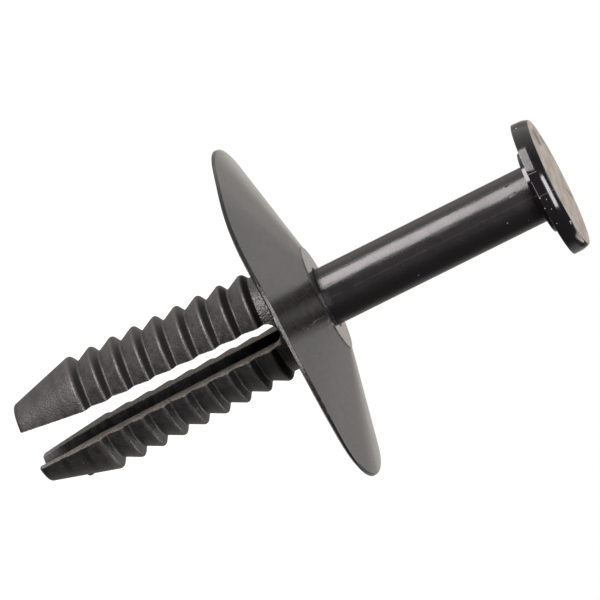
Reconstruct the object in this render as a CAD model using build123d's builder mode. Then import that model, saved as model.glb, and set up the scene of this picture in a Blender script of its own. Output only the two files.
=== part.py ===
from build123d import *
from math import asin, cos, degrees, radians, sin, tan
import os

# Two-piece plastic push rivet for an 8 mm hole, in millimetres.
#
# The grommet is one moulding: a wide coned flange, a short neck and a ribbed shank that a
# slot divides into two springy legs. The push pin slides down the bore between the legs,
# until its collar seats on the land in the middle of the flange.
#
# +Z runs up the axis of the rivet, from the toes of the legs to the head of the pin. The
# origin is on the axis, at the level of the toes. The slot opens along Y, with one leg on
# each side of it along X. Depths are measured down from the land.

# Push pin
shaft_radius = 2.075
nose_radius = 1.45
nose_length = 0.9
nose_bevel = 0.15
collar_radius = 3.0
collar_thickness = 0.5
collar_bevel = 0.1
head_radius = 4.95
head_thickness = 1.17
head_bevel = 0.1
head_round = 0.45
gate_width = 1.8
gate_height = 0.68
parting_angle = 263.3

# Where the pin stands before it is pushed home
stroke = 16.35
engagement = 3.2

# Flange
running_clearance = 0.04
mouth_chamfer = 0.18
land_radius = 3.85
land_height = 0.11
land_bevel = 0.1
flange_radius = 12.5
flange_drop = 2.0
hub_wall = 1.0
rim_wall = 0.35
rim_bevel = 0.1
seat_width = 0.6

# Neck and slot
neck_radius = 3.6
neck_length = 1.91
armpit_bevel = 0.35
slot_width = 1.75
slot_setback = 1.14

# Ribbed legs
rib_count = 9
rib_pitch = 1.655
rib_radius = 4.02
rib_crest = 0.26
rib_back = 0.36
rib_root_radius = 3.49
toe_length = 4.79
toe_radius = 2.6
toe_bevel = 0.15
toe_relief = 0.24
toe_bore_radius = 1.75
ramp_length = 2.1
splay = 1.0

# Depths below the land
bore_radius = shaft_radius + running_clearance
rim_depth = land_height + flange_drop
seat_depth = rim_depth + rim_wall
hub_depth = land_height + hub_wall
slot_depth = seat_depth + slot_setback
ribs_depth = seat_depth + neck_length
toe_base_depth = ribs_depth + (rib_count - 1) * rib_pitch + rib_back + rib_crest
toe_depth = toe_base_depth + toe_length

# The legs are moulded straight and lean apart from a fold line across the neck, halfway
# between the end of the slot and the first rib. The inner edges of the toes end up lowest,
# and they stand at z = 0.
fold_depth = (slot_depth + ribs_depth) / 2
leg_length = toe_depth - fold_depth
toe_half_gap = slot_width / 2 + toe_relief
land_z = fold_depth + leg_length * cos(radians(splay)) - toe_half_gap * sin(radians(splay))
fold_z = land_z - fold_depth
half_fold = radians(splay / 2)

# Solids that are cut back overrun the cut by this much, and cuts go this far past them
overrun = neck_radius
beyond = 2 * flange_radius

# One leg, moulded straight, in a frame of its own with the fold line as its Y axis. The
# outline goes down the sawtooth ribs and the toe cone, and back up the channel for the pin.
# Each rib has a steep back towards the flange, a narrow crest and a long ramp towards the
# toe. The first one rises from the neck and the others from the valleys between them.
with BuildPart() as leg:
    with BuildSketch(Plane.YZ) as leg_outline:
        with BuildLine():
            outline = [(bore_radius, overrun), (neck_radius, overrun)]
            root_radius = neck_radius
            for rib in range(rib_count):
                root_z = fold_depth - ribs_depth - rib * rib_pitch
                outline.append((root_radius, root_z))
                outline.append((rib_radius, root_z - rib_back))
                outline.append((rib_radius, root_z - rib_back - rib_crest))
                root_radius = rib_root_radius
            outline.append((toe_radius, -leg_length))
            outline.append((toe_bore_radius, -leg_length))
            outline.append((bore_radius, ramp_length - leg_length))
            Polyline(*outline, close=True)
        make_face()
        toe_corner = leg_outline.vertices().sort_by_distance((toe_radius, -leg_length))[0]
        chamfer(toe_corner, toe_bevel)
    revolve(axis=Axis.Z, revolution_arc=180)
    fold_plane = Plane(origin=(0, 0, 0), z_dir=(-sin(half_fold), 0, cos(half_fold)))
    split(bisect_by=fold_plane, keep=Keep.BOTTOM)

# The grommet: flange, hub and neck as one revolved section, cut off along the fold, with
# both legs folded outwards and joined on.
with BuildPart() as grommet:
    with BuildSketch(Plane.XZ) as section:
        with BuildLine():
            Polyline(
                (bore_radius, land_z),
                (land_radius, land_z),
                (land_radius + land_bevel, land_z - land_height),
                (flange_radius, land_z - rim_depth),
                (flange_radius, land_z - seat_depth + rim_bevel),
                (flange_radius - rim_bevel, land_z - seat_depth),
                (flange_radius - seat_width, land_z - seat_depth),
                (neck_radius, land_z - hub_depth),
                (neck_radius, fold_z - overrun),
                (bore_radius, fold_z - overrun),
                close=True,
            )
        make_face()
        mouth = section.vertices().sort_by_distance((bore_radius, land_z))[0]
        chamfer(mouth, mouth_chamfer)
        rim = section.vertices().sort_by_distance((flange_radius, land_z - rim_depth))[0]
        chamfer(rim, rim_bevel)
        armpit = section.vertices().sort_by_distance((neck_radius, land_z - hub_depth))[0]
        chamfer(armpit, armpit_bevel)
    revolve(axis=Axis.Z)

    with BuildSketch(Plane.XZ):
        with BuildLine():
            reach = 2 * neck_radius
            fold_end_z = fold_z + reach * tan(half_fold)
            Polyline(
                (0, fold_z),
                (reach, fold_end_z),
                (reach, 0),
                (-reach, 0),
                (-reach, fold_end_z),
                close=True,
            )
        make_face()
    extrude(amount=beyond, both=True, mode=Mode.SUBTRACT)

    with Locations(Location((0, 0, fold_z), (0, splay, 0))):
        add(leg.part)
    with Locations(Location((0, 0, fold_z), (0, -splay, 0))):
        add(leg.part.mirror(Plane.YZ))

    # The slot has a full-round end, widens with the lean of the legs and flares at the toes.
    with BuildSketch(Plane.XZ):
        with BuildLine():
            half_slot = slot_width / 2
            round_z = land_z - slot_depth - half_slot
            flare_z = land_z - toe_base_depth
            flare_x = half_slot + (round_z - flare_z) * tan(radians(splay))
            toe_x = half_slot + round_z * tan(radians(splay)) + toe_relief
            end_x = toe_x + (toe_x - flare_x) / flare_z * toe_length
            RadiusArc((0, round_z + half_slot), (half_slot, round_z), half_slot)
            Polyline(
                (half_slot, round_z),
                (flare_x, flare_z),
                (end_x, -toe_length),
                (0, -toe_length),
            )
            mirror(about=Plane.YZ)
        make_face()
    extrude(amount=beyond, both=True, mode=Mode.SUBTRACT)

# The push pin, with a lead on its nose. Its collar stands off the land by the stroke.
collar_z = land_z + stroke
head_z = collar_z + collar_thickness
top_z = head_z + head_thickness
nose_z = land_z - engagement

with BuildPart() as push_pin:
    with BuildSketch(Plane.XZ) as pin_section:
        with BuildLine():
            Polyline(
                (0, nose_z),
                (nose_radius, nose_z),
                (shaft_radius, nose_z + nose_length),
                (shaft_radius, collar_z),
                (collar_radius - collar_bevel, collar_z),
                (collar_radius, collar_z + collar_bevel),
                (collar_radius, head_z),
                (head_radius - head_bevel, head_z),
                (head_radius, head_z + head_bevel),
                (head_radius, top_z),
                (0, top_z),
                close=True,
            )
        make_face()
        nose_corner = pin_section.vertices().sort_by_distance((nose_radius, nose_z))[0]
        chamfer(nose_corner, nose_bevel)
        head_corner = pin_section.vertices().sort_by_distance((head_radius, top_z))[0]
        fillet(head_corner, head_round)
    revolve(axis=Axis.Z)

    # A shallow flat on the rim of the head, beside the parting line, where the gate was cut
    gate_half_angle = degrees(asin(gate_width / 2 / head_radius))
    gate_flat = head_radius * cos(radians(gate_half_angle))
    with BuildSketch(Plane.XY.offset(head_z)):
        with PolarLocations(gate_flat + head_radius / 2, 1, parting_angle - gate_half_angle):
            Rectangle(head_radius, gate_width)
    extrude(amount=gate_height, mode=Mode.SUBTRACT)

grommet.part.label = "grommet"
push_pin.part.label = "push_pin"

os.makedirs("parts", exist_ok=True)
export_step(grommet.part, "parts/grommet.step")
export_step(push_pin.part, "parts/push_pin.step")
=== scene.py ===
from math import cos, hypot, pi, radians, sin, tan

import bmesh
import bpy
from mathutils import Matrix, Vector


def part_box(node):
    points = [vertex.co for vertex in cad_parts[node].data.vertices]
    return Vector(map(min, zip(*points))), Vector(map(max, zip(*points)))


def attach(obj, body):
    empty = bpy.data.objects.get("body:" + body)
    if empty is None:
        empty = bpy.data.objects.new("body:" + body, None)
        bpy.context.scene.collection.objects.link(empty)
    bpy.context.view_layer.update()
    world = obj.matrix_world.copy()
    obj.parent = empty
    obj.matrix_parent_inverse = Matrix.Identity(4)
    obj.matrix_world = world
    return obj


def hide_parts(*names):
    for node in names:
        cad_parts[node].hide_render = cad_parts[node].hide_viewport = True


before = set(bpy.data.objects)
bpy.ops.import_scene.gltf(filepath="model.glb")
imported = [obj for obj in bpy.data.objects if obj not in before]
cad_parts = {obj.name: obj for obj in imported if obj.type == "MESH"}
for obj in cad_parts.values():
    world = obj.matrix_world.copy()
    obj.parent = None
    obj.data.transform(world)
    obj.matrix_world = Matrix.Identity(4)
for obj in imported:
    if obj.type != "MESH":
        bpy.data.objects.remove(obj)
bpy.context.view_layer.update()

# The grommet is one injection moulding in black nylon: a thin coned flange round a bore, a
# short neck and a ribbed shank. Its outline is turned round the axis, and then the slot that
# makes two legs of the shank is cut. It is drawn in millimetres and shrunk to metres at the end.
MM = 0.001
turned_sides = 192
smooth_angle = radians(30)

# How near a point is to another one, to a ring or to a plane when it counts as on it
doubled = 0.002
on_ring = 0.01
on_plane = 0.001

bore_radius = 2.115
mouth_bevel = 0.18
land_radius = 3.85
land_height = 0.11
land_bevel = 0.15
land_round = 0.04
flange_drop = 2.0
rim_wall = 0.35
rim_round = 0.06
rim_shoulder = 0.17
rim_shoulder_inset = 0.04
rim_draft = 0.01
rim_edge_width = 0.4
rim_edge_height = 0.12
seat_width = 0.6
hub_wall = 1.0
neck_radius = 3.6
neck_length = 1.91
neck_round = 0.5
rib_count = 9
rib_pitch = 1.655
rib_tip_radius = 4.11
rib_root_radius = 3.46
rib_back = 0.43
rib_round = 0.23
rib_root_round = 0.13
toe_radius = 2.6
toe_round = 0.22
toe_bore_radius = 1.75
toe_ramp = 2.1
toe_relief = 0.24
slot_width = 1.75
slot_setback = 1.14
slot_steps = 24
splay = radians(1.0)

grommet_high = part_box("grommet")[1]
land_z = grommet_high.z / MM
flange_radius = grommet_high.x / MM
rim_z = land_z - land_height - flange_drop
seat_z = rim_z - rim_wall
hub_z = land_z - land_height - hub_wall
ribs_z = seat_z - neck_length
slot_z = seat_z - slot_setback
fold_z = (ribs_z + slot_z) / 2
toe_half_gap = slot_width / 2 + toe_relief
leg_length = (fold_z + toe_half_gap * sin(splay)) / cos(splay)
leg_end_z = fold_z - leg_length


def draw_outline(name, points):
    """Starts a piece as a line of (radius, height) points, drawn by extruding one vertex."""
    bpy.ops.object.select_all(action="DESELECT")
    bpy.ops.mesh.primitive_plane_add(size=1)
    piece = bpy.context.object
    piece.name = piece.data.name = name
    bpy.ops.object.mode_set(mode="EDIT")
    bpy.ops.mesh.select_mode(type="VERT")
    bpy.ops.mesh.merge(type="CENTER")
    at = Vector((points[0][0], 0, points[0][1]))
    bpy.ops.transform.translate(value=at)
    for radius, height in points[1:]:
        to = Vector((radius, 0, height))
        bpy.ops.mesh.extrude_vertices_move(TRANSFORM_OT_translate={"value": to - at})
        at = to
    return piece


def close_wall():
    """Merges the doubled points of the mesh in edit mode and turns its faces outwards."""
    bpy.ops.mesh.select_all(action="SELECT")
    bpy.ops.mesh.remove_doubles(threshold=doubled)
    bpy.ops.mesh.normals_make_consistent(inside=False)


def turn_outline():
    """Spins the drawn outline once round the axis of the rivet."""
    bpy.ops.mesh.select_all(action="SELECT")
    bpy.ops.mesh.spin(steps=turned_sides, angle=2 * pi, center=(0, 0, 0), axis=(0, 0, 1))
    close_wall()


def round_rings(piece, rings, width, segments):
    """Rounds the edges that run round the axis at each (radius, height)."""
    bpy.ops.mesh.select_mode(type="EDGE")
    bpy.ops.mesh.select_all(action="DESELECT")
    shape = bmesh.from_edit_mesh(piece.data)
    for edge in shape.edges:
        ends = [Vector((hypot(end.co.x, end.co.y), end.co.z)) for end in edge.verts]
        for ring in rings:
            if all((end - Vector(ring)).length < on_ring for end in ends):
                edge.select_set(True)
    bmesh.update_edit_mesh(piece.data)
    bpy.ops.mesh.bevel(offset_type="OFFSET", offset=width, segments=segments, affect="EDGES")


tips = [(rib_tip_radius, ribs_z - rib_back - rib * rib_pitch) for rib in range(rib_count)]
roots = [(rib_root_radius, ribs_z - rib * rib_pitch) for rib in range(1, rib_count)]
outline = [
    (bore_radius + mouth_bevel, land_z),
    (land_radius, land_z),
    (land_radius + land_bevel, land_z - land_height),
    (flange_radius - rim_shoulder_inset, rim_z),
    (flange_radius - rim_draft, rim_z - rim_shoulder),
    (flange_radius, seat_z + rim_edge_height),
    (flange_radius - rim_edge_width, seat_z),
    (flange_radius - seat_width, seat_z),
    (neck_radius, hub_z),
    (neck_radius, ribs_z),
]
for tip, root in zip(tips, roots):
    outline += [tip, root]
outline += [
    tips[-1],
    (toe_radius, leg_end_z),
    (toe_bore_radius, leg_end_z),
    (bore_radius, leg_end_z + toe_ramp),
    (bore_radius, land_z - mouth_bevel),
    outline[0],
]
grommet = draw_outline("grommet_moulding", outline)
turn_outline()
round_rings(grommet, tips, rib_round, 4)
round_rings(grommet, roots, rib_root_round, 3)
round_rings(grommet, [(flange_radius - rim_shoulder_inset, rim_z)], rim_round, 3)
round_rings(grommet, [(neck_radius, hub_z)], neck_round, 5)
round_rings(grommet, [(toe_radius, leg_end_z)], toe_round, 4)
round_rings(grommet, [(land_radius, land_z)], land_round, 2)

# The flange is thin and has warped a little, so its rim droops in a few places. Each droop has
# its turn in degrees, its drop and its reach: a short stretch of the rim is gripped and pulled
# down, and what is within the reach follows.
droop_grip = 0.5
rim_droops = ((229, 0.3, 6), (198, 0.15, 11), (315.5, 0.19, 8), (337.5, 0.19, 8))
bpy.ops.mesh.select_mode(type="VERT")
for turn, drop, reach in rim_droops:
    bpy.ops.mesh.select_all(action="DESELECT")
    middle = Vector((cos(radians(turn)), sin(radians(turn)))) * flange_radius
    shape = bmesh.from_edit_mesh(grommet.data)
    for point in shape.verts:
        point.select_set((point.co.xy - middle).length < droop_grip)
    bmesh.update_edit_mesh(grommet.data)
    bpy.ops.transform.translate(
        value=(0, 0, -drop),
        use_proportional_edit=True,
        proportional_edit_falloff="SMOOTH",
        proportional_size=reach,
    )
bpy.ops.object.mode_set(mode="OBJECT")

# The slot is a straight cut with a full-round end, flared where it runs out between the toes.
# The legs are moulded straight, and lean apart from a fold across the neck.
slot_round_z = slot_z - slot_width / 2
flare_z = tips[-1][1]
past_toes_z = 2 * leg_end_z - flare_z
half_slot = slot_width / 2
half_flare = half_slot + 2 * toe_relief
slot_outline = []
for step in range(slot_steps + 1):
    turn = pi * step / slot_steps
    slot_outline.append((half_slot * cos(turn), slot_round_z + half_slot * sin(turn)))
slot_outline += [
    (-half_slot, flare_z),
    (-half_flare, past_toes_z),
    (half_flare, past_toes_z),
    (half_slot, flare_z),
    slot_outline[0],
]
slot_cutter = draw_outline("slot_cutter", slot_outline)
close_wall()
bpy.ops.mesh.edge_face_add()
bpy.ops.transform.translate(value=(0, -flange_radius, 0))
bpy.ops.mesh.extrude_region_move(TRANSFORM_OT_translate={"value": (0, 2 * flange_radius, 0)})
close_wall()
bpy.ops.object.mode_set(mode="OBJECT")


def cut_away(piece, cutter):
    """Cuts the cutter's shape out of a piece and throws the cutter away."""
    bpy.ops.object.select_all(action="DESELECT")
    bpy.context.view_layer.objects.active = piece
    piece.select_set(True)
    cut = piece.modifiers.new("cut", "BOOLEAN")
    cut.operation = "DIFFERENCE"
    cut.solver = "EXACT"
    cut.object = cutter
    bpy.ops.object.modifier_apply(modifier=cut.name)
    bpy.data.objects.remove(cutter)


cut_away(grommet, slot_cutter)

bpy.ops.object.mode_set(mode="EDIT")
bpy.ops.mesh.select_all(action="SELECT")
bpy.ops.mesh.bisect(plane_co=(0, 0, fold_z), plane_no=(0, 0, 1))
bpy.ops.mesh.select_mode(type="VERT")
for side in (1, -1):
    bpy.ops.mesh.select_all(action="DESELECT")
    shape = bmesh.from_edit_mesh(grommet.data)
    for point in shape.verts:
        point.select_set(point.co.x * side > 0 and point.co.z < fold_z - on_plane)
    shape.select_flush(True)
    bmesh.update_edit_mesh(grommet.data)
    bpy.ops.transform.rotate(
        value=side * splay, orient_axis="Y", center_override=(0, 0, fold_z)
    )
bpy.ops.object.mode_set(mode="OBJECT")


def finish_shape(piece):
    """Shades the rounded edges smooth, keeps the walls between them true, and shrinks the
    piece from millimetres to metres."""
    bpy.ops.object.select_all(action="DESELECT")
    bpy.context.view_layer.objects.active = piece
    piece.select_set(True)
    bpy.ops.object.shade_smooth_by_angle(angle=smooth_angle)
    true_walls = piece.modifiers.new("true_walls", "WEIGHTED_NORMAL")
    true_walls.keep_sharp = True
    true_walls.weight = 100
    bpy.ops.object.modifier_apply(modifier=true_walls.name)
    piece.scale = (MM, MM, MM)
    bpy.ops.object.transform_apply()


finish_shape(grommet)


class Signal:
    """An output of a material's node. Python's arithmetic on it adds Math nodes."""

    def __init__(self, socket):
        self.socket = socket

    def node(self, kind, settings, inputs, output=0):
        """Adds any other node: its settings first, and then the values or links it takes."""
        tree = self.socket.id_data
        made = tree.nodes.new(kind)
        for name, value in settings.items():
            setattr(made, name, value)
        for name, value in inputs.items():
            if isinstance(value, Signal):
                tree.links.new(value.socket, made.inputs[name])
            else:
                made.inputs[name].default_value = value
        return Signal(made.outputs[output])

    def beside(self, output):
        """Another output of the same node."""
        return Signal(self.socket.node.outputs[output])

    def math(self, operation, *values):
        return self.node("ShaderNodeMath", {"operation": operation}, dict(enumerate(values)))

    def __add__(self, other):
        return self.math("ADD", self, other)

    __radd__ = __add__

    def __sub__(self, other):
        return self.math("SUBTRACT", self, other)

    def __rsub__(self, other):
        return self.math("SUBTRACT", other, self)

    def __mul__(self, other):
        return self.math("MULTIPLY", self, other)

    __rmul__ = __mul__

    def __truediv__(self, other):
        return self.math("DIVIDE", self, other)

    def __abs__(self):
        return self.math("ABSOLUTE", self)

    def root(self):
        return self.math("SQRT", self)

    def most(self, other):
        return self.math("MAXIMUM", self, other)

    def least(self, other):
        return self.math("MINIMUM", self, other)

    def fade(self, nothing, full):
        """A soft step: 0 where this is at nothing, 1 where it is at full."""
        return self.node(
            "ShaderNodeMapRange",
            {"interpolation_type": "SMOOTHSTEP"},
            {"Value": self, "From Min": nothing, "From Max": full},
        )

    def paint(self, under, over):
        """A colour that goes from under to over as this goes from 0 to 1."""
        return self.node("ShaderNodeMix", {"data_type": "RGBA"}, {0: self, 6: under, 7: over}, 2)

    def stretch(self, x, y, z):
        """A place with its three coordinates multiplied by these."""
        by = (x, y, z)
        return self.node("ShaderNodeVectorMath", {"operation": "MULTIPLY"}, {0: self, 1: by})

    def clouds(self, fineness, detail=2.0):
        """Cloudy noise over a place in millimetres, finer for a higher number."""
        return self.node(
            "ShaderNodeTexNoise", {}, {"Vector": self, "Scale": fineness, "Detail": detail}
        )

    def axes(self):
        """The three coordinates of a place, each by itself."""
        split = self.node("ShaderNodeSeparateXYZ", {}, {0: self})
        return [split.beside(axis) for axis in ("X", "Y", "Z")]

    def into(self, shader, name):
        """Links this to one of the inputs of a shader."""
        self.socket.id_data.links.new(self.socket, shader.inputs[name])


def start_skin(name):
    """A new material, its shader, and the place on the piece in millimetres."""
    skin = bpy.data.materials.new(name)
    skin.use_nodes = True
    shader = skin.node_tree.nodes["Principled BSDF"]
    place = Signal(shader.outputs[0]).node("ShaderNodeTexCoord", {}, {}, "Object")
    return skin, shader, place.stretch(1 / MM, 1 / MM, 1 / MM)


def hairlines(spot, fineness, width, share):
    """Fine curved scratches: where one cloud passes its middle, broken up by another."""
    line = 1 - abs(spot.clouds(fineness, 0.0) - 0.5).fade(0, width)
    return line * spot.clouds(fineness * 0.7 + 0.3, 1.0).fade(1 - share, 1.05 - share)


def specks(spot, spacing, radius, share):
    """Small round specks, one to a cell, in a share of the cells."""
    cells = spot.node("ShaderNodeTexVoronoi", {}, {"Vector": spot, "Scale": 1 / spacing})
    lot = cells.beside("Color").axes()[0]
    speck = 1 - cells.fade(radius / spacing * 0.6, radius / spacing)
    return speck * lot.fade(1 - share, 1.01 - share)


def fleck(x, y, place, size):
    """One round fleck at a place on two of the coordinates."""
    off_x = x - place[0]
    off_y = y - place[1]
    return (off_x * off_x + off_y * off_y).root().fade(size, size * 0.5)


def scratch(x, y, start, end, width):
    """One straight scratch between two places on two of the coordinates."""
    run = Vector(end) - Vector(start)
    along = ((x - start[0]) * run.x + (y - start[1]) * run.y) / run.length_squared
    along = along.least(1.0).most(0.0)
    off_x = x - start[0] - along * run.x
    off_y = y - start[1] - along * run.y
    return 1 - (off_x * off_x + off_y * off_y).root().fade(0, width)


# The marks have their places in millimetres: across and towards the front, which is turned a
# little from -Y. Each mask is 1 on its part of the moulding and fades to 0 at its edge.
front_turn = radians(-10.5)

grommet_skin, shader, spot = start_skin("black_nylon")
x, y, z = spot.axes()
across = x * cos(front_turn) + y * sin(front_turn)
near = x * sin(front_turn) - y * cos(front_turn)
radius = (x * x + y * y).root()
lean = (fold_z - z).most(0.0) * tan(splay)
leg_x = abs(x) - lean
leg_radius = (leg_x * leg_x + y * y).root()
flare = ((flare_z - z) / (flare_z - leg_end_z)).most(0.0) * toe_relief

shank = z.fade(seat_z + 0.1, seat_z - 0.3) * radius.fade(neck_radius + 2.5, neck_radius + 2.0)
neck = z.fade(ribs_z - 0.1, ribs_z + 0.1) * shank
crest = leg_radius.fade(rib_tip_radius - 0.16, rib_tip_radius - 0.06) * shank
rib_share = shank.math("FRACT", (ribs_z - z) / rib_pitch)
# The steep backs of the ribs, which the colour keeps black as painted shade under the flange.
shaded_rib_backs = rib_share.fade(0.3, 0.2) * shank * (1 - neck)
slot_face = (leg_x - flare - half_slot).fade(0.07, 0.02) * z.fade(slot_z, slot_z - 0.4)
cone_slope = flange_drop / (flange_radius - land_radius - land_bevel)
cone_height = land_z - land_height + (land_radius + land_bevel) * cone_slope
top_side = (z + radius * cone_slope).fade(cone_height - 0.45, cone_height - 0.2)
rim = radius.fade(flange_radius - 0.3, flange_radius - 0.15)
mouth = (1 - abs(radius - bore_radius - mouth_bevel - 0.06).fade(0.03, 0.08)) * top_side

grain = spot.clouds(7.0, 3.0)
mottle = spot.clouds(1.6, 3.0)
flow = spot.clouds(0.35, 2.0)
smear = spot.stretch(1, 1, 4).clouds(2.4, 4.0)
powder = spot.clouds(4.0, 5.0).fade(0.35, 0.65)
dust = specks(spot, 0.8, 0.05, 0.14)
nicks = specks(spot, 0.9, 0.11, 0.3) * rim
scuffs = hairlines(spot, 0.5, 0.006, 0.45)
strokes = scratch(across, near, (1.39, 8.49), (1.03, 5.43), 0.035)
strokes = strokes.most(scratch(across, near, (1.1, 4.2), (1.09, 6.8), 0.035))
strokes = strokes.most(scratch(across, near, (1.5, 3.9), (2.3, 2.9), 0.12) * mottle.fade(0.4, 0.6))
# A painted glint on the rim near the front, pale like the marks.
glint = scratch(across, z - seat_z, (-0.3, 0.08), (0.3, 0.01), 0.12)
glint = glint * near.fade(flange_radius - 0.5, flange_radius - 0.3)
strokes = strokes * top_side * mottle.fade(0.3, 0.7) * 0.35
# A pale broken ring at the edge of the bore's mouth: a painted highlight.
mouth_edge_highlight = mouth * mottle.fade(0.5, 0.6) * 0.7
pale_marks_and_glints = strokes.most(glint).most(nicks).most(mouth_edge_highlight)

black = (0.006, 0.0057, 0.006, 1)
worn_black = (0.045, 0.043, 0.042, 1)
smeared_black = (0.045, 0.042, 0.038, 1)
sheared_grey_and_reflection = (0.16, 0.145, 0.125, 1)
pale_dust_and_glints = (0.35, 0.33, 0.31, 1)
wear = mottle.fade(0.3, 0.8) * 0.3 + powder * 0.25
# Wear and the rubbed crests lighten the shank, except on the steep backs of the ribs, which stay
# black: painted shade.
colour = (wear * shank * (1 - shaded_rib_backs) + crest * 0.4).least(1.0).paint(black, worn_black)
film = smear.fade(0.3, 0.8) * 0.25 + powder * 0.35
colour = (film * top_side).paint(colour, smeared_black)
# The faces of the slot are painted lighter: partly their sheared grain, partly a painted
# reflection of the white studio at a grazing angle.
colour = (slot_face * grain.fade(0.35, 0.6)).paint(colour, sheared_grey_and_reflection)
# Pale dust, scratches and nicks, and the painted highlights of the glint and of the mouth's edge.
colour = (dust * 0.5).most(pale_marks_and_glints).paint(colour, pale_dust_and_glints)
colour.into(shader, "Base Color")

skin_roughness = 0.14 + flow * 0.06 + smear * 0.06 + scuffs * 0.2
shank_roughness = 0.4 + mottle * 0.1 - neck * 0.12 - crest * 0.08
rough = skin_roughness + (shank_roughness - skin_roughness) * shank
rough.into(shader, "Roughness")

# The grain stands up and the scuffs lie in, by so many millimetres. The mould is coarser at the
# shank than at the flange.
height = grain * (0.002 + shank * 0.03 + neck * 0.03) + mottle * (0.0005 + shank * 0.006)
height = height - scuffs * 0.002
bump = height.node("ShaderNodeBump", {}, {"Strength": 1.0, "Distance": MM, "Height": height})
bump.into(shader, "Normal")

grommet.data.materials.clear()
grommet.data.materials.append(grommet_skin)
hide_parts("grommet")
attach(grommet, "grommet")

# A nib of flash stands on one toe, where the two halves of the grommet's mould met. It is the
# same black nylon: a low, long and uneven bead, left as it came out of the mould.
nib_turn = radians(349.5)
nib_radius = 3.68
nib_z = 2.8
nib_size = 0.13
nib_stretch = (1, 0.45, 2)
nib_unevenness = 0.02
bpy.ops.object.select_all(action="DESELECT")
bpy.ops.mesh.primitive_ico_sphere_add(subdivisions=2, radius=nib_size)
nib = bpy.context.object
nib.name = nib.data.name = "toe_flash"
bpy.ops.object.mode_set(mode="EDIT")
bpy.ops.mesh.select_all(action="SELECT")
bpy.ops.transform.resize(value=nib_stretch)
bpy.ops.transform.vertex_random(offset=nib_unevenness, seed=2)
bpy.ops.transform.translate(value=(nib_radius, 0, nib_z))
bpy.ops.transform.rotate(value=-nib_turn, orient_axis="Z", center_override=(0, 0, 0))
bpy.ops.object.mode_set(mode="OBJECT")
finish_shape(nib)
nib.data.materials.append(grommet_skin)
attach(nib, "grommet")

# The push pin is one moulding in glossy black nylon: a plain shaft with a thin collar under a
# disc head with a rounded top edge. The two halves of its mould leave a hairline of flash down
# both sides, and the sprue was cut off flat at the rim of the head, beside one of them.
nose_radius = 1.45
nose_length = 0.9
nose_round = 0.3
shaft_radius = 2.075
collar_radius = 3.0
collar_thickness = 0.5
head_thickness = 1.22
head_lean = radians(1.2)
head_sink = 0.1
head_round = 1.4
head_corner = radians(28)
head_taper = 0.035
head_steps = 8
edge_round = 0.06
gate_width = 1.8
gate_height = 0.62
gate_clearance = 0.012
flash_width = 0.03
flash_height = 0.009
flash_beads = 76
parting_turn = radians(263.3)

nose_low, pin_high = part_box("push_pin")
nose_z = nose_low.z / MM
top_z = pin_high.z / MM
head_radius = pin_high.x / MM
head_z = top_z - head_thickness
collar_z = head_z - collar_thickness
outline = [
    (0, nose_z),
    (nose_radius, nose_z),
    (shaft_radius, nose_z + nose_length),
    (shaft_radius, collar_z),
    (collar_radius, collar_z),
    (collar_radius, head_z),
    (head_radius, head_z),
]
round_z = top_z - head_round * sin(head_corner)
for step in range(head_steps + 1):
    turn = head_corner * step / head_steps
    edge_z = round_z + head_round * sin(turn)
    edge_inset = head_round * (1 - cos(turn)) + head_taper * (edge_z - head_z)
    outline.append((head_radius - edge_inset, edge_z))
face_corner = outline[-1]
outline.append((0, top_z))
pin = draw_outline("push_pin_moulding", outline)
turn_outline()
round_rings(pin, [face_corner, (head_radius, head_z), (collar_radius, collar_z)], edge_round, 2)
round_rings(pin, [(nose_radius, nose_z)], nose_round, 4)
bpy.ops.object.mode_set(mode="OBJECT")

# The flat where the sprue was cut off starts just beside the parting line.
gate_half_turn = gate_width / 2 / head_radius
gate_turn = gate_half_turn + gate_clearance
gate_middle = head_radius * cos(gate_half_turn) + head_radius / 2
bpy.ops.object.select_all(action="DESELECT")
bpy.ops.mesh.primitive_cube_add(size=1)
gate_cutter = bpy.context.object
gate_cutter.scale = (head_radius, gate_width, gate_height)
gate_cutter.location = (gate_middle, 0, head_z + gate_height / 2)
bpy.ops.object.transform_apply()
bpy.ops.object.mode_set(mode="EDIT")
bpy.ops.mesh.select_all(action="SELECT")
bpy.ops.transform.rotate(value=gate_turn, orient_axis="Z", center_override=(0, 0, 0))
bpy.ops.object.mode_set(mode="OBJECT")
cut_away(pin, gate_cutter)


def select_parting(piece, kind, low, high):
    """Selects the edges or the points of the parting line, from the shaft out, between two
    heights."""
    bpy.ops.mesh.select_mode(type=kind)
    bpy.ops.mesh.select_all(action="DESELECT")
    shape = bmesh.from_edit_mesh(piece.data)
    parts = shape.edges if kind == "EDGE" else shape.verts
    for part in parts:
        ends = [end.co for end in part.verts] if kind == "EDGE" else [part.co]
        flat = all(abs(end.y) < on_plane for end in ends)
        outside = all(abs(end.x) > shaft_radius - on_ring for end in ends)
        if flat and outside and all(low < end.z < high for end in ends):
            part.select_set(True)
    bmesh.update_edit_mesh(piece.data)


# The flash is a hairline ridge, a little uneven along the shaft.
shaft_low = nose_z + nose_length - on_ring
bpy.ops.object.mode_set(mode="EDIT")
select_parting(pin, "EDGE", shaft_low, collar_z + on_ring)
bpy.ops.mesh.subdivide(number_cuts=flash_beads)
select_parting(pin, "EDGE", shaft_low, top_z - on_ring)
bpy.ops.mesh.bevel(offset_type="OFFSET", offset=flash_width, segments=2, affect="EDGES")
select_parting(pin, "VERT", shaft_low, top_z - on_ring)
bpy.ops.transform.shrink_fatten(value=flash_height)
select_parting(pin, "VERT", shaft_low, collar_z - 0.1)
bpy.ops.transform.vertex_random(offset=flash_height / 2, uniform=0, normal=1, seed=4)

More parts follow.
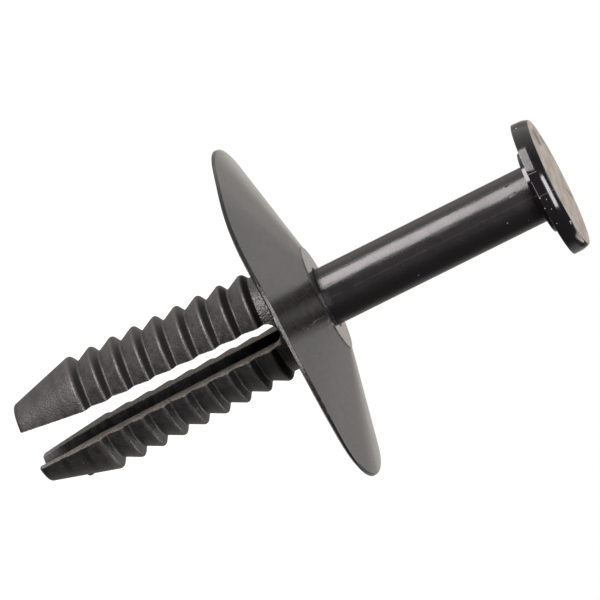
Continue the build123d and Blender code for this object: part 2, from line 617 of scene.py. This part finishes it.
# The head has come out of the mould a little out of square to the shaft.
bpy.ops.mesh.select_all(action="DESELECT")
shape = bmesh.from_edit_mesh(pin.data)
for point in shape.verts:
    point.select_set(point.co.z > collar_z - on_ring)
shape.select_flush(True)
bmesh.update_edit_mesh(pin.data)
bpy.ops.transform.rotate(value=-head_lean, orient_axis="Y", center_override=(0, 0, collar_z))
bpy.ops.transform.translate(value=(0, 0, -head_sink))
bpy.ops.mesh.select_all(action="SELECT")
bpy.ops.transform.rotate(value=-parting_turn, orient_axis="Z", center_override=(0, 0, 0))
bpy.ops.object.mode_set(mode="OBJECT")
finish_shape(pin)

pin_skin, shader, spot = start_skin("glossy_black_nylon")
x, y, z = spot.axes()
across = x * cos(front_turn) + y * sin(front_turn)
near = x * sin(front_turn) - y * cos(front_turn)
radius = (x * x + y * y).root()
front = near.fade(0.0, 0.2)
head = z.fade(collar_z - 0.2, collar_z - 0.1)
face_radius = face_corner[0]
face = z.fade(top_z - 0.35, top_z - 0.2) * radius.fade(face_radius + 0.02, face_radius - 0.04)
shaft_side = radius.fade(shaft_radius + 0.2, shaft_radius + 0.1) * front

off_parting = abs(x * sin(parting_turn) - y * cos(parting_turn))
parting = off_parting.fade(flash_width, flash_width * 0.4) * (1 - face)

drawn = spot.stretch(1, 1, 0.12).clouds(3.5, 2.0)
waves = spot.stretch(1, 1, 0.45).clouds(0.9, 1.0)
grain = spot.clouds(7.0, 3.0)
mottle = spot.clouds(1.2, 3.0)
dust = specks(spot, 0.6, 0.035, 0.12)
scuffs = hairlines(spot.stretch(1, 1, 0.2), 0.9, 0.01, 0.35)

# The marks on the sides of the pin have their heights above the underside of its head.
rise = z - head_z
# The edges of the sprue flat get a painted highlight: a thin pale line along each.
gate_edge_highlight = scratch(across, rise, (-1.36, -0.14), (-1.33, 0.42), 0.05)
gate_edge_highlight = gate_edge_highlight.most(scratch(across, rise, (-0.8, -0.18), (0.4, -0.15), 0.04))
flecks = gate_edge_highlight * 0.35
for place, size in (
    ((0.42, -0.14), 0.055),
    ((0.7, 0.22), 0.045),
    ((1.2, -0.17), 0.055),
    ((1.43, 0.22), 0.035),
    ((2.48, 0.08), 0.04),
    ((2.78, 0.94), 0.08),
    ((2.9, 0.9), 0.05),
    ((-4.57, 0.27), 0.05),
    ((-4.66, -0.14), 0.04),
    ((0.96, -3.15), 0.04),
):
    flecks = flecks.most(fleck(across, rise, place, size))
gouges = scratch(across, rise, (-0.54, -2.23), (-0.66, -1.79), 0.1)
gouges = gouges.most(scratch(across, rise, (-1.32, -2.14), (-1.4, -1.92), 0.08)) * shaft_side

# The cuts on the face of the head are about six times as long to the front as across.
drawn_near = near * 0.16
cuts = scratch(across, drawn_near, (-3.9, 0.05), (-2.9, 0.0), 0.22)
cuts = cuts.most(scratch(across, drawn_near, (-3.4, -0.36), (-2.9, -0.4), 0.12))
cuts = cuts.most(scratch(across, drawn_near, (0.66, -0.39), (1.36, -0.55), 0.1)) * face

black = (0.005, 0.0047, 0.0055, 1)
dust_and_reflection_beige = (0.34, 0.285, 0.235, 1)
flash_brown = (0.09, 0.082, 0.068, 1)
stain = spot.stretch(1, 0.4, 1).clouds(1.0, 4.0)
# The face of the head is painted pale beige: partly dust and stains, partly a painted reflection
# of the white studio, which it shows at a grazing angle.
dirt_and_reflection = 0.35 + stain.fade(0.3, 0.65) * 0.45 + grain.fade(0.3, 0.7) * 0.3
colour = (face * dirt_and_reflection * (1 - cuts)).least(1.0).paint(black, dust_and_reflection_beige)
colour = (parting * mottle.fade(0.3, 0.6) * (0.18 + head * 0.6)).paint(colour, flash_brown)
# Pale dust and flecks, with the painted highlights along the edges of the sprue flat.
colour = (dust * 0.6).most(flecks * front * 0.8).paint(colour, pale_dust_and_glints)
colour.into(shader, "Base Color")
rough = 0.24 + mottle * 0.06 - head * 0.14 + face * 0.2 + scuffs * 0.15
rough.into(shader, "Roughness")
height = drawn * (1 - head) * 0.012 + waves * (1 - head) * 0.02
height = height + grain * (0.0025 - head * 0.0015 + face * 0.006) + mottle * face * 0.03
height = height - scuffs * 0.003 - gouges * 0.05 - cuts * 0.04
bump = height.node("ShaderNodeBump", {}, {"Strength": 1.0, "Distance": MM, "Height": height})
bump.into(shader, "Normal")

pin.data.materials.clear()
pin.data.materials.append(pin_skin)
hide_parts("push_pin")
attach(pin, "pin")

# The rivet stands on white paper. The paper is plain white to the eye, and it lets the light of
# the two low lamps through to the shaft and the toes.
paper_radius = 0.15
paper_glow = 0.93
paper_grey = (0.3, 0.3, 0.3, 1)
bpy.ops.object.select_all(action="DESELECT")
bpy.ops.mesh.primitive_circle_add(vertices=96, radius=paper_radius, fill_type="NGON")
paper = bpy.context.object
paper.name = paper.data.name = "paper"
white_paper = bpy.data.materials.new("white_paper")
white_paper.use_nodes = True
nodes = white_paper.node_tree.nodes
shader = nodes["Principled BSDF"]
shader.inputs["Base Color"].default_value = paper_grey
shader.inputs["Roughness"].default_value = 0.9
lit = Signal(shader.outputs[0])
seen = lit.node("ShaderNodeLightPath", {}, {}, "Is Camera Ray")
glow = seen.node("ShaderNodeEmission", {}, {"Strength": seen * paper_glow})
lit.node("ShaderNodeAddShader", {}, {0: lit, 1: glow}).into(nodes["Material Output"], "Surface")
paper.data.materials.append(white_paper)
paper.visible_shadow = False
paper.visible_glossy = False

# Round it is a studio, plain white to the eye, whose walls go from white at the back left to
# nearly dark at the front right. Behind the rivet they are dimmer on both sides of the middle,
# and the paper there sends some light back up.
facing = radians(270) + front_turn
dark_side = facing + radians(40)
plain_light = 0.23
warm_white = (1, 0.94, 0.88, 1)
cool_white = (1, 0.97, 0.96, 1)
studio = bpy.data.worlds.new("studio")
bpy.context.scene.world = studio
studio.use_nodes = True
walls = studio.node_tree.nodes["Background"]
seen = Signal(walls.outputs[0]).node("ShaderNodeLightPath", {}, {}, "Is Camera Ray")
mirrored = seen.beside("Is Glossy Ray").most(seen.beside("Is Transmission Ray"))
way = seen.node("ShaderNodeTexCoord", {}, {}, "Generated")
way_x, way_y, rise = way.axes()
white_side = (way_x * cos(dark_side) + way_y * sin(dark_side)).fade(0.0, -1.0)
behind = way_x * -cos(facing) - way_y * sin(facing)
shaded = behind.fade(0.6, 0.8) * behind.fade(0.995, 0.95) * rise.fade(0.45, 0.2)
low_back = behind.fade(0.2, 0.7) * rise.fade(0.1, 0.0) * 0.45
light = ((0.1 + white_side * 0.9) * (1 - shaded * 0.55)).most(low_back)
light = seen.most(light * (plain_light + mirrored * (1 - plain_light)))
light.into(walls, "Strength")
tint = rise.fade(0.1, 0.6).paint(warm_white, cool_white)
seen.paint(tint, (1, 1, 1, 1)).into(walls, "Color")

# Five softboxes light the rivet: two low ones at the left for the long highlight on the shaft
# and the gloss of the toes, one in front for the streak on the edge of the head, one overhead
# for the face of the head and the flange, and one behind for the glint at its right end.
lamp_aim = Vector((0, 0, 31.5)) * MM


def softbox(name, turn, rise, distance, width, height, brightness, colour):
    """A rectangular lamp. Its turn to the right of the viewer and its rise are in degrees, and
    its distance and sides in metres."""
    bearing = facing + radians(turn)
    level = radians(rise)
    out = Vector((cos(bearing) * cos(level), sin(bearing) * cos(level), sin(level)))
    lamp = bpy.data.lights.new(name, "AREA")
    lamp.shape = "RECTANGLE"
    lamp.size = width
    lamp.size_y = height
    lamp.energy = brightness * pi * width * height
    lamp.color = colour
    stand = bpy.data.objects.new(name, lamp)
    bpy.context.scene.collection.objects.link(stand)
    stand.location = lamp_aim + out * distance
    stand.rotation_euler = out.to_track_quat("Z", "Y").to_euler()
    stand.visible_camera = False


softbox("low_softbox", -58, -14, 0.45, 0.33, 0.19, 15.5, (1, 0.92, 0.94))
softbox("toe_softbox", -57, -36, 0.45, 0.25, 0.15, 2.2, (1, 0.92, 0.94))
softbox("front_softbox", 7, 21.5, 0.5, 0.5, 0.15, 16, (1, 0.95, 0.96))
softbox("top_softbox", 0, 80, 0.5, 0.3, 0.3, 4, (1, 0.96, 0.92))
softbox("back_softbox", 122, 33, 0.5, 0.3, 0.35, 3.5, (1, 0.96, 0.92))

# The camera stands nearly half a metre in front and looks a little down on the flange. It is
# rolled, so that the rivet lies slantwise across the frame with its head at the upper right.
view_rise = radians(7.0)
view_roll = radians(63.55)
view_centre = Vector((0, 0, 23.5)) * MM
view_from = Vector((-2.296, -0.422, 456.7)) * MM
lens = bpy.data.cameras.new("camera")
lens.sensor_width = 36
lens.lens = 397.07
lens.clip_start = 0.01
lens.clip_end = 10
camera = bpy.data.objects.new("camera", lens)
bpy.context.scene.collection.objects.link(camera)
pose = Matrix.Rotation(front_turn, 4, "Z")
pose = pose @ Matrix.Rotation(radians(90) - view_rise, 4, "X")
pose = pose @ Matrix.Rotation(view_roll, 4, "Z")
camera.matrix_world = Matrix.Translation(view_centre + pose @ view_from) @ pose
bpy.context.scene.camera = camera
bpy.context.scene.view_settings.view_transform = "Standard"
